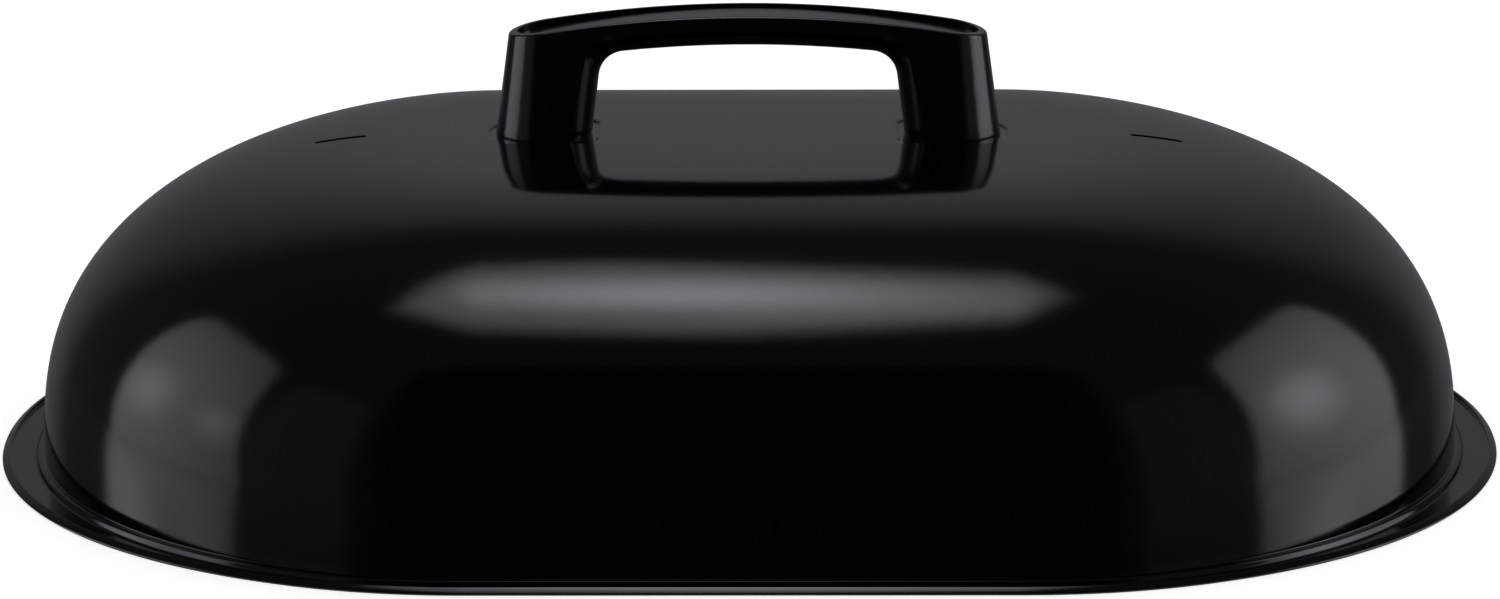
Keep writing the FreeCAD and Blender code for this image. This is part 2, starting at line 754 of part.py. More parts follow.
def make_screw(side, place):
    """Slotted screw with a domed head, driven up through washer, sheet and insert."""
    body = make_body("screw_" + place)
    centre = screw_station * side
    seat = seat_underside - size["washer_thickness"]
    head = size["screw_head_diameter"] / 2
    shank = size["screw_diameter"] / 2
    edge = size["screw_head_height"] * HEAD_EDGE_SHARE
    tip = seat_top + size["screw_length"]
    section = make_sketch(body, "section", role="XZ_Plane")
    crown = seat - size["screw_head_height"]
    chamfer = shank * TIP_CHAMFER_SHARE
    corners = [(fixed(0), crown), (head * HEAD_FLAT_SHARE, crown), (head, seat - edge), (head, seat),
               (shank, seat), (shank, tip - chamfer), (shank - chamfer, tip), (fixed(0), tip)]
    draw_polygon(section, [(centre + x, z) for x, z in corners])
    axis = section.addGeometry(line(point(centre, seat), point(centre, tip)), True)
    dimension(section, "DistanceX", -1, 1, axis, 1, fixed(1) * centre)
    dimension(section, "DistanceX", -1, 1, axis, 2, fixed(1) * centre)
    dimension(section, "DistanceY", -1, 1, axis, 1, fixed(1) * seat)
    dimension(section, "DistanceY", -1, 1, axis, 2, fixed(1) * tip)
    turn(body, "turned", section)
    slot = make_sketch(body, "slot_outline", offset=crown)
    half = size["screw_slot"] / 2
    draw_polygon(slot, [(centre - head, half), (centre - head, -half),
                        (centre + head, -half), (centre + head, half)])
    extrude(body, "slot", slot, size["screw_head_height"] * SLOT_DEPTH_SHARE, cut=True,
            reversed_side=True)
    return body


# ---------------------------------------------------------------- build and write

def build():
    bodies = [make_cover_shell(), make_handle()]
    for side, place in ((-1, "left"), (1, "right")):
        bodies.append(make_insert(side, place))
        bodies.append(make_washer(side, place))
        bodies.append(make_screw(side, place))
    doc.recompute()
    return bodies


def check(bodies):
    """Stop before anything is written if a feature failed or a solid is not sound."""
    failed = [item.Name for item in doc.Objects
              if "Invalid" in item.State or "Error" in item.State]
    if failed:
        raise RuntimeError("failed features: " + ", ".join(failed))
    for body in bodies:
        shape = body.Shape
        if shape.isNull() or not shape.isValid() or len(shape.Solids) != 1:
            raise RuntimeError("%s is not one sound solid" % body.Label)


def write(bodies):
    os.makedirs("parts", exist_ok=True)
    for body in bodies:
        body.Shape.exportStep(os.path.join("parts", body.Label + ".step"))
        box = body.Shape.optimalBoundingBox(True, False)
        print("%-14s volume %10.1f  X %.2f..%.2f  Y %.2f..%.2f  Z %.2f..%.2f"
              % (body.Label, body.Shape.Volume, box.XMin, box.XMax, box.YMin, box.YMax,
                 box.ZMin, box.ZMax))


bodies = build()
check(bodies)
write(bodies)
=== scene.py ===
import math

import bmesh
import bpy
from mathutils import Matrix, Vector


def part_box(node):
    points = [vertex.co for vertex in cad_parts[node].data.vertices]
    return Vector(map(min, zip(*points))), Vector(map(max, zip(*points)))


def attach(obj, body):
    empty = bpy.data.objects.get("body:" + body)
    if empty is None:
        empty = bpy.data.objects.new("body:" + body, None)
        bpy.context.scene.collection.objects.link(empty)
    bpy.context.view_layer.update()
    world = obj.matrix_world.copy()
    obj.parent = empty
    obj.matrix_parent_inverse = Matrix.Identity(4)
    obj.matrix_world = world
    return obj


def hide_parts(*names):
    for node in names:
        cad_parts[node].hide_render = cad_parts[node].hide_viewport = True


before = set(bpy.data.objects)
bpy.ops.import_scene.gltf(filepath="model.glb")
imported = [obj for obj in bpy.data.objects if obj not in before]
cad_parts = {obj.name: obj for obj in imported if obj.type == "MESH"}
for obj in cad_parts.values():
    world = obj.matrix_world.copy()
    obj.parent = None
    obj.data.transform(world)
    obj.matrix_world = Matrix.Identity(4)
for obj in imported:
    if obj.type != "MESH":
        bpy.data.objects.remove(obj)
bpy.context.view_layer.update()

# ---------------------------------------------------------------- cover shell
# One sheet of steel, drawn into an oblong dome over a step and a flange whose edge is
# turned up into a lip, then enamelled glossy black on both faces. Two seats are pressed
# into its top for the handle's legs, with a screw hole in each, and a steam slot is cut
# at each end.
MM = 0.001
WELD = 0.01 * MM
SHEET = 0.9 * MM
_, shell_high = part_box("cover_shell")
HALF_LENGTH, HALF_WIDTH = shell_high.x, shell_high.y
END_SHARE, CORNER_SHARE = 0.9124, 0.8305
END_REACH = HALF_WIDTH * END_SHARE
STRAIGHT = HALF_LENGTH - END_REACH
CORNER = END_REACH * CORNER_SHARE
EDGE_ROUND, LIP_ROUND, LIP_INSIDE, LIP_TOP = 0.55 * MM, 0.3 * MM, 2.8 * MM, 2.3 * MM
STEP_FOOT, FOOT_ROUND, STEP_ROUND = 11.3 * MM, 0.9 * MM, 1.7 * MM
WALL, ROOT_ROUND = 15.0 * MM, 0.5 * MM
LEDGE_TOP = 3.0 * MM
SHOULDER_RUN, SHOULDER_RISE = 127 * MM, 98.4 * MM
SHOULDER_POWER, WALL_POWER = 2.08, 2.79
CROWN_RISE, CROWN_TIP = 11.5 * MM, 4 * MM
SHOULDER_RINGS, TOP_RINGS = 56, 14
# rings stand closer together near the wall's foot
RING_CROWDING = 1.25


def choose(piece, test):
    """In edit mode, selects the vertices whose place passes the test, and what they join."""
    mesh = bmesh.from_edit_mesh(piece.data)
    for vertex in mesh.verts:
        vertex.select_set(bool(test(vertex.co)))
    mesh.select_flush_mode()
    bmesh.update_edit_mesh(piece.data)


def bend(middle_in, middle_up, radius, first, last, steps):
    """Places along a round of the profile, as (inset from the rim, height)."""
    places = []
    for step in range(steps + 1):
        angle = math.radians(first + (last - first) * step / steps)
        places.append((middle_in - radius * math.cos(angle), middle_up + radius * math.sin(angle)))
    return places


def crown(inset):
    """How far the slightly crowned top has risen at this inset from the wall."""
    left = 1 - inset / (HALF_WIDTH - WALL)
    return CROWN_RISE * (1 - left * left)


def shoulder(steps):
    """The near upright wall and the wide shoulder, as one smooth curve."""
    places = []
    for step in range(1, steps + 1):
        angle = math.pi / 2 * (step / steps) ** RING_CROWDING
        inset = SHOULDER_RUN * (1 - max(math.cos(angle), 0) ** (2 / SHOULDER_POWER))
        height = LEDGE_TOP + SHOULDER_RISE * math.sin(angle) ** (2 / WALL_POWER) + crown(inset)
        places.append((WALL + inset, height))
    return places


def top(steps):
    """The crowned top, inside the shoulder."""
    run = END_REACH - WALL - SHOULDER_RUN - CROWN_TIP
    insets = [SHOULDER_RUN + run * step / steps for step in range(1, steps + 1)]
    return [(WALL + inset, LEDGE_TOP + SHOULDER_RISE + crown(inset)) for inset in insets]


# angles of the profile's rounds, in degrees: where the edge starts underneath, the lip's
# outer slope, its nearly upright inner face, and the face of the step
UNDERCUT, SLANT, UPRIGHT, STEEP = 60, 58, 175, 25
edge_up = EDGE_ROUND * math.sin(math.radians(UNDERCUT))
profile = bend(EDGE_ROUND, edge_up, EDGE_ROUND, -UNDERCUT, SLANT, 8)
profile += bend(LIP_INSIDE - LIP_ROUND, LIP_TOP - LIP_ROUND, LIP_ROUND, SLANT, UPRIGHT, 8)
profile += bend(LIP_INSIDE + LIP_ROUND, SHEET + LIP_ROUND, LIP_ROUND, 0, -90, 5)
profile.append((LIP_INSIDE + 3 * LIP_ROUND, SHEET))
profile += bend(STEP_FOOT, SHEET + FOOT_ROUND, FOOT_ROUND, 270, 180 + STEEP, 6)
foot_in, foot_up = profile[-1]
face_up = LEDGE_TOP - STEP_ROUND * (1 - math.sin(math.radians(STEEP)))
face_in = foot_in + (face_up - foot_up) * math.tan(math.radians(STEEP))
profile += bend(face_in + STEP_ROUND * math.cos(math.radians(STEEP)), LEDGE_TOP - STEP_ROUND,
                STEP_ROUND, STEEP, 90, 10)
profile += bend(WALL - ROOT_ROUND, LEDGE_TOP + ROOT_ROUND, ROOT_ROUND, 270, 360 - UPRIGHT, 6)
profile += shoulder(SHOULDER_RINGS)
profile += top(TOP_RINGS)
SIDE_EDGE, SIDE_LIP_INSIDE, SIDE_STEP_FOOT, SIDE_WALL = 2.3 * MM, 5.0 * MM, 8.2 * MM, 11.3 * MM


def side_inset(inset):
    """How far in a ring lies along the sides, where the flange is narrower than at the ends."""
    knots = [(0, SIDE_EDGE), (LIP_INSIDE, SIDE_LIP_INSIDE), (STEP_FOOT, SIDE_STEP_FOOT),
             (WALL, SIDE_WALL), (WALL + SHOULDER_RUN, WALL + SHOULDER_RUN)]
    for (first, first_side), (last, last_side) in zip(knots, knots[1:]):
        if inset <= last:
            return first_side + (last_side - first_side) * (inset - first) / (last - first)
    return inset


# plan of one end: a corner, the long end curve and the other corner, each spun
CORNER_STEPS, END_STEPS = 20, 100
end_radius = ((END_REACH ** 2 + HALF_WIDTH ** 2 - 2 * HALF_WIDTH * CORNER)
              / (2 * (END_REACH - CORNER)))
end_middle = HALF_LENGTH - end_radius
corner_middle = HALF_WIDTH - CORNER
corner_turn = math.atan2(STRAIGHT - end_middle, corner_middle)
bpy.ops.object.select_all(action="DESELECT")
bpy.ops.mesh.primitive_plane_add(size=MM, location=(STRAIGHT, HALF_WIDTH, 0))
shell = bpy.context.object
shell.name = "enamelled_shell"
bpy.ops.object.transform_apply()
bpy.ops.object.mode_set(mode="EDIT")
bpy.ops.mesh.merge(type="CENTER")
for middle, turn, steps in (((STRAIGHT, corner_middle, 0), corner_turn, CORNER_STEPS),
                            ((end_middle, 0, 0), math.pi - 2 * corner_turn, END_STEPS),
                            ((STRAIGHT, -corner_middle, 0), corner_turn, CORNER_STEPS)):
    bpy.ops.mesh.spin(steps=steps, angle=turn, center=middle, axis=(0, 0, 1))
bpy.ops.mesh.select_all(action="SELECT")

# the corners stand out a little further than the arcs, most of all half way round
FULLER, FROM_SIDE, FROM_END = 4.4 * MM, 1.25, 1.7
mesh = bmesh.from_edit_mesh(shell.data)
for vertex in mesh.verts:
    out = Vector(((vertex.co.x - STRAIGHT) / END_REACH, vertex.co.y / HALF_WIDTH, 0))
    vertex.co += out.normalized() * FULLER * abs(2 * out.x) ** FROM_SIDE * abs(out.y) ** FROM_END

# each ring of the profile is drawn in and up from the ring before; those past the lip are
# marked for the sheet's full thickness, which the lip's tight rounds leave no room for
shell.vertex_groups.new(name="full_sheet")
inset, height = profile[0]
bpy.ops.transform.resize(value=(1 - inset / END_REACH, 1 - side_inset(inset) / HALF_WIDTH, 1),
                         center_override=(STRAIGHT, 0, 0))
bpy.ops.transform.translate(value=(0, 0, height))
for (before, level), (inset, height) in zip(profile, profile[1:]):
    bpy.ops.mesh.extrude_region_move(TRANSFORM_OT_translate={"value": (0, 0, height - level)})
    narrower = (HALF_WIDTH - side_inset(inset)) / (HALF_WIDTH - side_inset(before))
    bpy.ops.transform.resize(value=((END_REACH - inset) / (END_REACH - before), narrower, 1),
                             center_override=(STRAIGHT, 0, height))
    if inset > LIP_INSIDE + 2 * LIP_ROUND:
        bpy.ops.object.vertex_group_assign()
bpy.ops.mesh.extrude_region_move(TRANSFORM_OT_translate={"value": (0, 0, 0)})
bpy.ops.transform.resize(value=(0, 1, 1), center_override=(STRAIGHT, 0, height))
mesh = bmesh.from_edit_mesh(shell.data)
for vertex in mesh.verts:
    if vertex.select:
        vertex.co.z = LEDGE_TOP + SHOULDER_RISE + crown(HALF_WIDTH - WALL - abs(vertex.co.y))

# the open section is drawn on to the middle in lengths that stop at the seats' edges,
# so that the shading round a seat stays near it, and the other half is mirrored
handle_low, handle_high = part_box("handle")
LEG_WIDTH = 33.4 * MM
LEG_INSIDE = handle_high.x - LEG_WIDTH
SEAT_MARGIN, SEAT_LIP, SEAT_DROP = 1.9 * MM, 1.7 * MM, 0.82 * MM
STOP_GAPS = (0.4 * MM, 1.6 * MM, 6 * MM)
seat_inside = LEG_INSIDE - SEAT_MARGIN - SEAT_LIP
stops = [STRAIGHT, *[seat_inside - gap for gap in STOP_GAPS], 0]
choose(shell, lambda place: abs(place.x - STRAIGHT) < WELD)
for last, stop in zip(stops, stops[1:]):
    bpy.ops.mesh.extrude_region_move(TRANSFORM_OT_translate={"value": (stop - last, 0, 0)})
bpy.ops.mesh.select_all(action="SELECT")
bpy.ops.mesh.remove_doubles(threshold=WELD)
bpy.ops.object.mode_set(mode="OBJECT")
mirror = shell.modifiers.new("other half", "MIRROR")
mirror.merge_threshold = WELD
bpy.ops.object.modifier_apply(modifier=mirror.name)
bpy.ops.object.mode_set(mode="EDIT")
bpy.ops.mesh.select_all(action="SELECT")
bpy.ops.mesh.normals_make_consistent(inside=False)
bpy.ops.object.mode_set(mode="OBJECT")
if max(shell.data.polygons, key=lambda face: face.center.z).normal.z < 0:
    bpy.ops.object.mode_set(mode="EDIT")
    bpy.ops.mesh.flip_normals()
    bpy.ops.object.mode_set(mode="OBJECT")
LIP_SHARE = 0.3
wall = shell.modifiers.new("sheet", "SOLIDIFY")
wall.thickness = SHEET
wall.offset = -1
wall.vertex_group = "full_sheet"
wall.thickness_vertex_group = LIP_SHARE
bpy.ops.object.modifier_apply(modifier=wall.name)
shell.vertex_groups.clear()


def combine(piece, tools, operation):
    """Cuts the tools out of a piece, or joins them to it, and uses them up."""
    for tool in tools:
        bpy.ops.object.select_all(action="DESELECT")
        piece.select_set(True)
        bpy.context.view_layer.objects.active = piece
        step = piece.modifiers.new(tool.name, "BOOLEAN")
        step.operation = operation
        step.object = tool
        bpy.ops.object.modifier_apply(modifier=step.name)
        bpy.data.objects.remove(tool)


SEAT_ROUND_SHARE, SEAT_CORNER, SEAT_STEPS = 0.995, 7 * MM, 8


def seat_form(name, side, floor_level, above):
    """A pressed seat as a solid: round outside, straight inside, its lip flared to the crown."""
    inner, outer = LEG_INSIDE - SEAT_MARGIN, handle_high.x + SEAT_MARGIN
    half_depth = handle_high.y + SEAT_MARGIN
    middle = (inner + outer) / 2 * side
    bpy.ops.object.select_all(action="DESELECT")
    bpy.ops.mesh.primitive_plane_add(size=1, location=(middle, 0, floor_level))
    form = bpy.context.object
    form.name = name
    form.scale = (outer - inner, 2 * half_depth, 1)
    bpy.ops.object.transform_apply()
    bpy.ops.object.mode_set(mode="EDIT")
    choose(form, lambda place: place.x * side > middle * side)
    bpy.ops.mesh.bevel(offset=half_depth * SEAT_ROUND_SHARE, segments=20, affect="VERTICES")
    choose(form, lambda place: place.x * side < inner + WELD)
    bpy.ops.mesh.bevel(offset=SEAT_CORNER, segments=8, affect="VERTICES")
    bpy.ops.mesh.select_all(action="SELECT")
    for step in range(1, SEAT_STEPS + 1):
        before, now = (step - 1) / SEAT_STEPS, step / SEAT_STEPS
        rise = SEAT_DROP * (now * now * (3 - 2 * now) - before * before * (3 - 2 * before))
        bpy.ops.mesh.extrude_region_move(TRANSFORM_OT_translate={"value": (0, 0, rise)})
        grow = [(half + SEAT_LIP * now) / (half + SEAT_LIP * before)
                for half in ((outer - inner) / 2, half_depth)]
        bpy.ops.transform.resize(value=(grow[0], grow[1], 1), center_override=(middle, 0, 0))
    bpy.ops.mesh.extrude_region_move(TRANSFORM_OT_translate={"value": (0, 0, above)})
    bpy.ops.mesh.select_all(action="SELECT")
    bpy.ops.mesh.normals_make_consistent(inside=False)
    bpy.ops.object.mode_set(mode="OBJECT")
    return form


HOLE_SIDES, TOOL_DEPTH = 48, 60 * MM


def upright_slot(name, middle, length, width):
    """A tool for an upright hole: a round one, drawn out along the lid to its length."""
    bpy.ops.object.select_all(action="DESELECT")
    bpy.ops.mesh.primitive_cylinder_add(vertices=HOLE_SIDES, radius=width / 2, depth=TOOL_DEPTH,
                                        location=(middle, 0, shell_high.z))
    tool = bpy.context.object
    tool.name = name
    bpy.ops.object.transform_apply()
    bpy.ops.object.mode_set(mode="EDIT")
    choose(tool, lambda place: place.x > middle + WELD)
    bpy.ops.transform.translate(value=((length - width) / 2, 0, 0))
    choose(tool, lambda place: place.x < middle - WELD)
    bpy.ops.transform.translate(value=((width - length) / 2, 0, 0))
    bpy.ops.object.mode_set(mode="OBJECT")
    return tool


VENT_LENGTH, VENT_WIDTH = 18.4 * MM, 3.0 * MM
VENT_FROM_END = 121.2 * MM
VENT_PLACE = HALF_LENGTH - VENT_FROM_END
SCREW_HOLE = 5.6 * MM
screw_low, screw_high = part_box("screw_right")
SCREW_PLACE = (screw_low.x + screw_high.x) / 2
INTO_SHEET, PAST_TOP = 0.5 * MM, 3 * MM
seat_level = handle_low.z
pads = [seat_form("seat_pad", side, seat_level - SHEET, INTO_SHEET) for side in (-1, 1)]
combine(shell, pads, "UNION")
tools = [seat_form("seat", side, seat_level, PAST_TOP) for side in (-1, 1)]
tools += [upright_slot("screw_hole", SCREW_PLACE * side, SCREW_HOLE, SCREW_HOLE)
          for side in (-1, 1)]
tools += [upright_slot("vent", VENT_PLACE * side, VENT_LENGTH, VENT_WIDTH) for side in (-1, 1)]
combine(shell, tools, "DIFFERENCE")
SMOOTH_BELOW = math.radians(35)
bpy.ops.object.select_all(action="DESELECT")
shell.select_set(True)
bpy.context.view_layer.objects.active = shell
bpy.ops.object.shade_smooth_by_angle(angle=SMOOTH_BELOW)


def mapped(tree, value, source=(0.0, 1.0), target=(0.0, 1.0), kind="LINEAR"):
    """The value, taken from one range to another and held at its ends."""
    node = tree.nodes.new("ShaderNodeMapRange")
    node.interpolation_type = kind
    for socket, number in zip(("From Min", "From Max", "To Min", "To Max"), (*source, *target)):
        node.inputs[socket].default_value = number
    tree.links.new(value, node.inputs["Value"])
    return node.outputs["Result"]


def make_surface_group():
    """Slow waves, fine grain and broad patches of a fired or moulded surface."""
    group = bpy.data.node_groups.new("waves_and_grain", "ShaderNodeTree")
    for name, kind in (("Place", "Vector"), ("Waves", "Float"), ("Grains", "Float"),
                       ("Grain Share", "Float"), ("Patches", "Float")):
        group.interface.new_socket(name, in_out="INPUT", socket_type="NodeSocket" + kind)
    for name in ("Height", "Patch"):
        group.interface.new_socket(name, in_out="OUTPUT", socket_type="NodeSocketFloat")
    nodes, links = group.nodes, group.links
    given, given_out = nodes.new("NodeGroupInput"), nodes.new("NodeGroupOutput")
    noises = {}
    for name, detail in (("Waves", 1.0), ("Grains", 2.0), ("Patches", 3.0)):
        noises[name] = nodes.new("ShaderNodeTexNoise")
        noises[name].inputs["Detail"].default_value = detail
        links.new(given.outputs["Place"], noises[name].inputs["Vector"])
        links.new(given.outputs[name], noises[name].inputs["Scale"])
    blend = nodes.new("ShaderNodeMix")
    links.new(given.outputs["Grain Share"], blend.inputs["Factor"])
    links.new(noises["Waves"].outputs["Fac"], blend.inputs["A"])
    links.new(noises["Grains"].outputs["Fac"], blend.inputs["B"])
    links.new(blend.outputs["Result"], given_out.inputs["Height"])
    links.new(noises["Patches"].outputs["Fac"], given_out.inputs["Patch"])
    return group


surface_group = make_surface_group()


def finish_material(name, colours, roughness, relief, waves, grains, grain_share, patches):
    """A finish whose colour and gloss drift from patch to patch, over fine relief."""
    material = bpy.data.materials.new(name)
    material.use_nodes = True
    nodes, links = material.node_tree.nodes, material.node_tree.links
    skin = nodes["Principled BSDF"]
    place = nodes.new("ShaderNodeTexCoord")
    surface = nodes.new("ShaderNodeGroup")
    surface.node_tree = surface_group
    for socket, value in (("Waves", waves), ("Grains", grains), ("Grain Share", grain_share),
                          ("Patches", patches)):
        surface.inputs[socket].default_value = value
    links.new(place.outputs["Object"], surface.inputs["Place"])
    tint = nodes.new("ShaderNodeMix")
    tint.data_type = "RGBA"
    tint.inputs["A"].default_value = (*colours[0], 1)
    tint.inputs["B"].default_value = (*colours[1], 1)
    links.new(surface.outputs["Patch"], tint.inputs["Factor"])
    links.new(tint.outputs["Result"], skin.inputs["Base Color"])
    gloss = mapped(material.node_tree, surface.outputs["Patch"], target=roughness)
    links.new(gloss, skin.inputs["Roughness"])
    bump = nodes.new("ShaderNodeBump")
    bump.inputs["Distance"].default_value = relief
    links.new(surface.outputs["Height"], bump.inputs["Height"])
    links.new(bump.outputs["Normal"], skin.inputs["Normal"])
    return material, skin


enamel, enamel_skin = finish_material(
    "black_glass_enamel", ((0.0004, 0.0004, 0.0005), (0.0009, 0.0009, 0.0009)),
    roughness=(0.07, 0.13), relief=0.012 * MM, waves=240, grains=1500, grain_share=0.12, patches=9)
enamel_skin.inputs["IOR"].default_value = 1.5
shell.data.materials.append(enamel)
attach(shell, "root")
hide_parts("cover_shell")

# ---------------------------------------------------------------- handle
# One moulding of black phenolic compound: two legs that widen towards the lid, and an
# arched bridge between them with a rounded grip and a shallow recess along its top.
# The legs are cored out from below round the bosses that hold the inserts.
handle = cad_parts["handle"]
phenolic, phenolic_skin = finish_material(
    "black_phenolic_moulding", ((0.0005, 0.0005, 0.0005), (0.0012, 0.0011, 0.0011)),
    roughness=(0.14, 0.21), relief=0.006 * MM, waves=420, grains=2600, grain_share=0.35, patches=35)
phenolic_skin.inputs["IOR"].default_value = 1.68
handle.data.materials.clear()
handle.data.materials.append(phenolic)

# ---------------------------------------------------------------- inserts
# Two turned brass bushes with a groove round them, moulded into the legs' bosses.
# Their threaded bores open downwards, over the screw holes in the lid.
brass, brass_skin = finish_material(
    "turned_brass", ((0.60, 0.44, 0.20), (0.78, 0.60, 0.32)),
    roughness=(0.22, 0.38), relief=0.01 * MM, waves=900, grains=5000, grain_share=0.5, patches=160)
brass_skin.inputs["Metallic"].default_value = 1.0
for side in ("left", "right"):
    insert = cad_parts["insert_" + side]
    insert.data.materials.clear()
    insert.data.materials.append(brass)

# ---------------------------------------------------------------- screws and washers
# Slotted steel screws, zinc plated, driven up from inside the dome into the inserts.
# A plain washer under each head spreads its load on the enamel.
steel, steel_skin = finish_material(
    "zinc_plated_steel", ((0.46, 0.47, 0.49), (0.66, 0.66, 0.65)),
    roughness=(0.24, 0.42), relief=0.01 * MM, waves=700, grains=4200, grain_share=0.5, patches=120)
steel_skin.inputs["Metallic"].default_value = 1.0
for name in ("screw_left", "screw_right", "washer_left", "washer_right"):
    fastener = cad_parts[name]
    fastener.data.materials.clear()
    fastener.data.materials.append(steel)


# ---------------------------------------------------------------- floor and background
# A pale floor that runs out of sight. It shows as white, apart from the lid's own shadow.
# Under the lid, where the steam slots look down on it, the floor's glow is taken away: painted
# shade.
def arithmetic(tree, operation, first, second=None):
    """The result of one sum on values that are each a number or a socket."""
    node = tree.nodes.new("ShaderNodeMath")
    node.operation = operation
    for socket, value in zip(node.inputs, (first, second)):
        if isinstance(value, float):
            socket.default_value = value
        elif value is not None:
            tree.links.new(value, socket)
    return node.outputs[0]


def seen_or_mirrored(tree):
    """1 for rays from the camera, from gloss and through glass, and 0 for the others."""
    path = tree.nodes.new("ShaderNodeLightPath")
    total = path.outputs["Is Camera Ray"]
    for name in ("Is Glossy Ray", "Is Transmission Ray"):
        total = arithmetic(tree, "MAXIMUM", total, path.outputs[name])
    return total


def bare_material(name):
    """A material with nothing but its output node."""
    material = bpy.data.materials.new(name)
    material.use_nodes = True
    tree = material.node_tree
    tree.nodes.clear()
    return material, tree, tree.nodes.new("ShaderNodeOutputMaterial").inputs["Surface"]


def glow_of(tree, strength):
    """A glow of this strength, which is a number or a socket."""
    glow = tree.nodes.new("ShaderNodeEmission")
    if isinstance(strength, float):
        glow.inputs["Strength"].default_value = strength
    else:
        tree.links.new(strength, glow.inputs["Strength"])
    return glow


FLOOR_SIZE, FLOOR_LIFT, FLOOR_PAINT = 30.0, 0.5, (0.86, 0.86, 0.86, 1)
# the painted shade under the lid, where the floor's glow is taken away, fades out between these
# shares of the rim's half length and width
PAINTED_SHADE_START, PAINTED_SHADE_END = 0.75, 0.9
bpy.ops.mesh.primitive_plane_add(size=FLOOR_SIZE, location=(0, 0, 0))
floor = bpy.context.object
floor.name = "floor"
material, tree, shown = bare_material("pale_floor")
paint = tree.nodes.new("ShaderNodeBsdfDiffuse")
paint.inputs["Color"].default_value = FLOOR_PAINT
place = tree.nodes.new("ShaderNodeTexCoord")
across = tree.nodes.new("ShaderNodeVectorMath")
across.operation = "DIVIDE"
across.inputs[1].default_value = (HALF_LENGTH, HALF_WIDTH, 1)
tree.links.new(place.outputs["Object"], across.inputs[0])
away = tree.nodes.new("ShaderNodeVectorMath")
away.operation = "LENGTH"
tree.links.new(across.outputs["Vector"], away.inputs[0])
# painted shade: the floor's glow is taken away under the lid, not left to the lid's cast shadow
glow_outside_painted_shade = mapped(tree, away.outputs["Value"], (PAINTED_SHADE_START, PAINTED_SHADE_END), (0.0, FLOOR_LIFT))
glow = glow_of(tree, arithmetic(tree, "MULTIPLY", seen_or_mirrored(tree), glow_outside_painted_shade))
both = tree.nodes.new("ShaderNodeAddShader")
tree.links.new(paint.outputs[0], both.inputs[0])
tree.links.new(glow.outputs[0], both.inputs[1])
tree.links.new(both.outputs[0], shown)
floor.data.materials.append(material)

# how strongly the air glows as a light, and how strongly where it is seen or mirrored
AIR_LEVELS = (0.6, 1.0)
world = bpy.data.worlds.new("studio_air")
bpy.context.scene.world = world
world.use_nodes = True
tree = world.node_tree
air = tree.nodes["Background"]
air.inputs["Color"].default_value = (1, 1, 1, 1)
tree.links.new(mapped(tree, seen_or_mirrored(tree), target=AIR_LEVELS), air.inputs["Strength"])


# ---------------------------------------------------------------- soft lights
# Cloth-fronted boxes overhead and at both sides, and a dim wall behind. Each is bright
# in its middle spots, even elsewhere and soft at its edge.
COOL_LIGHT = (0.95, 0.99, 1.08, 1)


def soft_light(name, size, location, rotation, level, spots=(), power=6.0, edge=0.25):
    """A glowing sheet. spots are (x, y, radius, added level) in its own plane.

    power is how square its outline is, and edge the share of the way out that fades.
    """
    bpy.ops.mesh.primitive_plane_add(size=1, location=location, rotation=rotation)
    light = bpy.context.object
    light.name = name
    light.scale = (*size, 1)
    bpy.ops.object.transform_apply(location=False, rotation=False, scale=True)
    material, tree, shown = bare_material(name)
    place = tree.nodes.new("ShaderNodeTexCoord").outputs["Object"]
    parts = tree.nodes.new("ShaderNodeSeparateXYZ")
    tree.links.new(place, parts.inputs[0])
    reach = []
    for axis, length in zip("XY", size):
        share = arithmetic(tree, "MULTIPLY", parts.outputs[axis], 2 / length)
        reach.append(arithmetic(tree, "POWER", arithmetic(tree, "ABSOLUTE", share), power))
    outward = arithmetic(tree, "POWER", arithmetic(tree, "ADD", *reach), 1 / power)
    total = level
    for x, y, radius, added in spots:
        away = tree.nodes.new("ShaderNodeVectorMath")
        away.operation = "DISTANCE"
        away.inputs[1].default_value = (x, y, 0)
        tree.links.new(place, away.inputs[0])
        near = mapped(tree, away.outputs["Value"], (0, radius), (1.0, 0.0), "SMOOTHSTEP")
        total = arithmetic(tree, "ADD", arithmetic(tree, "MULTIPLY", near, added), total)
    glow = glow_of(tree, total)
    glow.inputs["Color"].default_value = COOL_LIGHT
    cloth = tree.nodes.new("ShaderNodeMixShader")
    fabric = mapped(tree, outward, (1 - edge, 1), (1.0, 0.0), "SMOOTHSTEP")
    tree.links.new(fabric, cloth.inputs["Fac"])
    tree.links.new(tree.nodes.new("ShaderNodeBsdfTransparent").outputs[0], cloth.inputs[1])
    tree.links.new(glow.outputs[0], cloth.inputs[2])
    tree.links.new(cloth.outputs[0], shown)
    light.data.materials.append(material)
    light.visible_camera = False
    return light


def only_mirrored(thing):
    """The thing shows in gloss, and neither lights nor shades anything."""
    for flag in ("camera", "diffuse", "transmission", "shadow", "volume_scatter"):
        setattr(thing, "visible_" + flag, False)
    return thing


OVERHEAD_HEIGHT, SIDE_AWAY, WALL_AWAY = 0.9, 0.9, 1.3
LEAN = math.radians(-11)


def upright(side):
    """The turn of a light that faces the lid from one side and leans back a little."""
    return (Matrix.Rotation(LEAN, 3, "X") @ Matrix.Rotation(-side * math.pi / 2, 3, "Y")).to_euler()


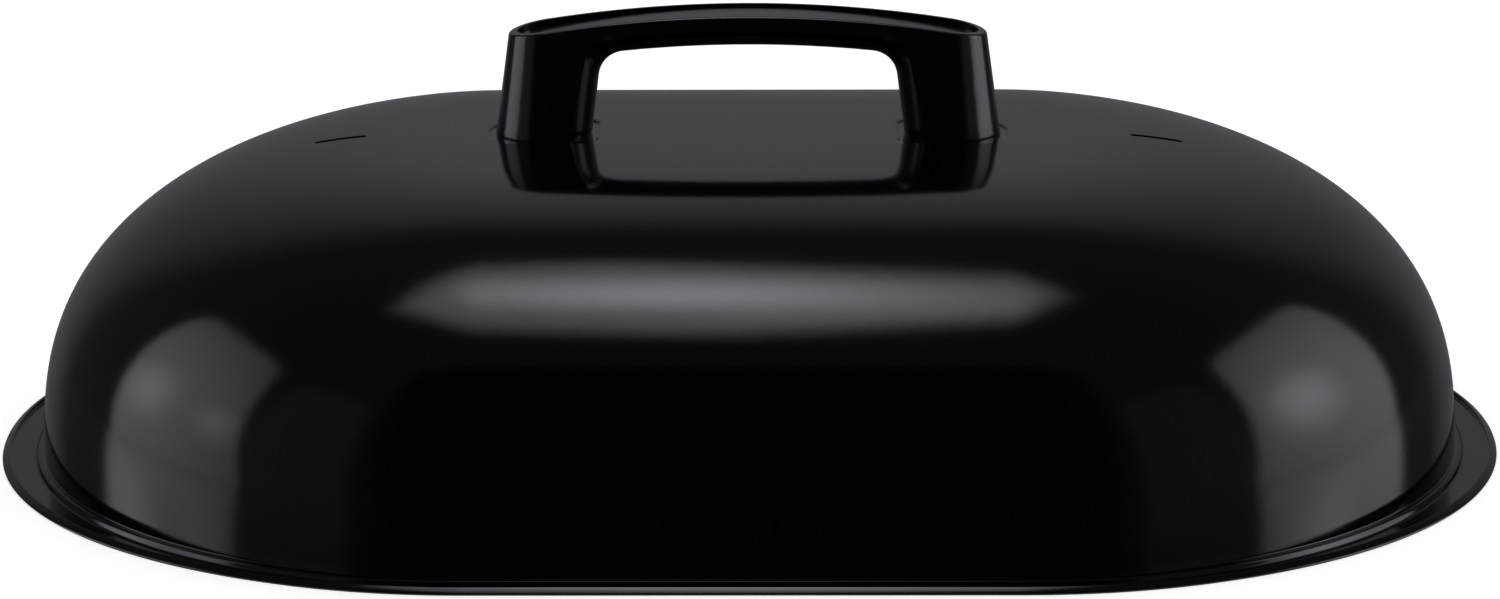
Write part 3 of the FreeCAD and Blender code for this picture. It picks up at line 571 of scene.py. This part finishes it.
soft_light("overhead_light", (0.70, 0.66), (-0.05, 0.03, OVERHEAD_HEIGHT), (math.pi, 0, 0.1), 1.25,
           spots=[(0.01, -0.03, 0.17, 2.35), (0.08, 0.08, 0.2, 0.7)], power=1.25, edge=0.5)
soft_light("right_light", (1.24, 0.80), (SIDE_AWAY, 0.0, 0.30), upright(1), 0.55,
           spots=[(0.0, -0.05, 0.75, 0.8), (0.0, -0.1, 0.25, 1.3)], edge=0.2)
soft_light("left_light", (1.20, 0.70), (-SIDE_AWAY, -0.06, 0.28), upright(-1), 0.5,
           spots=[(0.0, 0.05, 0.7, 0.6), (0.0, 0.15, 0.2, 0.7), (0.04, -0.2, 0.16, 0.5)], edge=0.2)
only_mirrored(soft_light("wall_behind", (3.0, 2.8), (0, WALL_AWAY, 0.5), (math.pi / 2, 0, 0), 0.13,
                         spots=[(0.0, 0.4, 1.0, 0.13)], power=3.0, edge=0.4))

# ---------------------------------------------------------------- dark room
# Dim cloth round the lights, paler screens beside them, black cloth in front and a dark
# glossy table, so that the black enamel mirrors the lights and little else. Only gloss
# sees them.
ROOM_RADIUS, ROOM_LEVEL, BLACK_LEVEL = 3.2, 0.05, 0.006
SCREEN_AWAY, SCREEN_FRONT, SCREEN_UP, SCREEN_TURN = 1.25, -0.95, 0.4, 0.93
bpy.ops.mesh.primitive_uv_sphere_add(segments=48, ring_count=24, radius=ROOM_RADIUS,
                                     location=(0, 0, 0))
room = only_mirrored(bpy.context.object)
room.name = "dim_room"
material, tree, shown = bare_material("dim_cloth")
tree.links.new(glow_of(tree, ROOM_LEVEL).outputs[0], shown)
room.data.materials.append(material)
only_mirrored(soft_light("black_cloth_in_front", (1.9, 4.2), (0, -1.2, 1.2), (math.pi / 2, 0, 0),
                         BLACK_LEVEL, edge=0.35))
for name, side, level in (("left", -1, 0.11), ("right", 1, 0.10)):
    only_mirrored(soft_light("pale_screen_" + name, (1.0, 2.6),
                             (SCREEN_AWAY * side, SCREEN_FRONT, SCREEN_UP),
                             (math.pi / 2, 0, SCREEN_TURN * side), level, edge=0.35))

# the table mirrors more the flatter it is looked along
TABLE_LIFT, TABLE_ROUGHNESS = 0.5 * MM, 0.2
TABLE_FACING, TABLE_SHARE = (0.65, 0.87), (0.55, 0.92)
bpy.ops.mesh.primitive_circle_add(vertices=64, radius=ROOM_RADIUS, fill_type="NGON",
                                  location=(0, 0, TABLE_LIFT))
table = only_mirrored(bpy.context.object)
table.name = "glossy_table"
material, tree, shown = bare_material("glossy_table_top")
polish = tree.nodes.new("ShaderNodeBsdfGlossy")
polish.inputs["Roughness"].default_value = TABLE_ROUGHNESS
slant = tree.nodes.new("ShaderNodeLayerWeight")
share = mapped(tree, slant.outputs["Facing"], TABLE_FACING, TABLE_SHARE)
tree.links.new(share, polish.inputs["Color"])
tree.links.new(polish.outputs[0], shown)
table.data.materials.append(material)

# ---------------------------------------------------------------- camera
# A long lens, a little above the rim and square to the lid's front.
AIM = Vector((0.00039, 0.0, 0.05144))
STAND_OFF = 2.5
RAISED, TURNED, TILTED = math.radians(14.51), math.radians(0.67), math.radians(-0.24)
SENSOR_WIDTH, LENS, FAR = 36.0, 169.2, 50.0
turned = (Matrix.Rotation(TURNED, 4, "Z") @ Matrix.Rotation(math.pi / 2 - RAISED, 4, "X")
          @ Matrix.Rotation(TILTED, 4, "Z"))
bpy.ops.object.camera_add(location=AIM + turned @ Vector((0, 0, STAND_OFF)),
                          rotation=turned.to_euler())
camera = bpy.context.object
camera.data.sensor_fit = "HORIZONTAL"
camera.data.sensor_width = SENSOR_WIDTH
camera.data.lens = LENS
camera.data.clip_end = FAR
bpy.context.scene.camera = camera
bpy.context.scene.view_settings.view_transform = "Standard"
